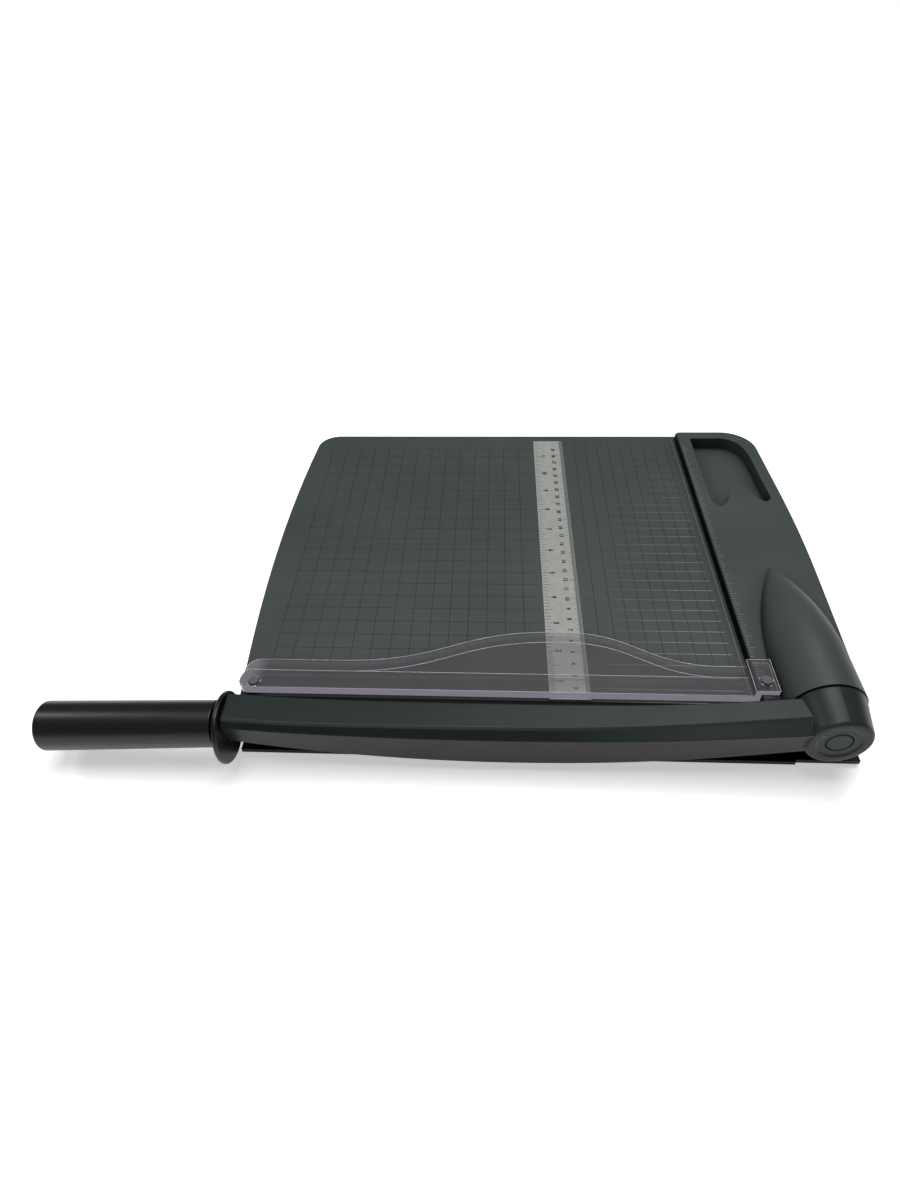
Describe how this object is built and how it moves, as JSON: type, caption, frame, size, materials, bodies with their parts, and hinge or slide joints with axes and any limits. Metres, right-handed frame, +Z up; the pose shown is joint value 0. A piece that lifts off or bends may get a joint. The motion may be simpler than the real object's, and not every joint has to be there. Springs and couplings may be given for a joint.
{
  "type": "guillotine paper cutter",
  "caption": "Guillotine paper cutter: flat gridded table with let-in ruler, raised paper stop ledge, clear spring guard and a bowed lever on a conical hub with round grip.",
  "frame": {"origin": "middle of the footprint on the desk, lever closed", "axes": "+X from the back of the table towards the lever, +Y along the cut towards the pivot, +Z up"},
  "size_m": [0.3486, 0.5048, 0.0638],
  "materials": {
    "base_plastic": "fine satin texture, dark green-grey",
    "cover_plastic": "plain dark moulding",
    "arm_plastic": "semi-gloss blue-black",
    "guard_disc_plastic": "semi-gloss black",
    "grip_rubber": "soft satin grip",
    "foot_rubber": "matt rubber",
    "ruler_print": "grey strip with pale print",
    "clear_plastic": "transparent, faint lavender-grey tint",
    "blade_steel": "ground steel",
    "zinc_steel": "zinc plated",
    "bush_brass": "sintered bronze"
  },
  "bodies": {
    "base": {"base_shell": "base_plastic", "bottom_cover": "cover_plastic", "cover_screws": "zinc_steel", "foot_front_left": "foot_rubber", "foot_front_right": "foot_rubber", "foot_rear_left": "foot_rubber", "foot_rear_right": "foot_rubber", "head_ledge": "base_plastic", "ledge_screws": "zinc_steel", "hinge_housing": "base_plastic", "housing_screws": "zinc_steel", "ruler_strip": "ruler_print", "fixed_blade": "blade_steel", "fixed_blade_screws": "zinc_steel", "pivot_bracket": "zinc_steel", "bracket_screws": "zinc_steel", "pivot_axle": "zinc_steel", "pivot_spacer": "zinc_steel", "disc_springs": "zinc_steel", "axle_washer": "zinc_steel", "axle_nut": "zinc_steel", "guard_post_left": "zinc_steel", "guard_post_right": "zinc_steel", "guard_spring_left": "zinc_steel", "guard_spring_right": "zinc_steel"},
    "arm": {"arm_lever": "arm_plastic", "moving_blade": "blade_steel", "blade_screws": "zinc_steel", "hub_bushing": "bush_brass", "hub_cap": "arm_plastic", "hand_guard": "guard_disc_plastic", "grip_core": "zinc_steel", "grip": "grip_rubber"},
    "guard": {"clear_guard": "clear_plastic"}
  },
  "joints": [
    {"name": "arm_pivot", "type": "hinge", "parent": "base", "child": "arm", "pos_m": [0.13925, 0.2171, 0.041], "axis": [-1, 0, 0], "range_deg": [0, 62]},
    {"name": "guard_press", "type": "slide", "parent": "base", "child": "guard", "axis": [0, 0, -1], "range_m": [0, 0.002], "stiffness_N_per_m": 600, "springref_m": -0.002, "deforming": ["guard_spring_left", "guard_spring_right"]}
  ]
}
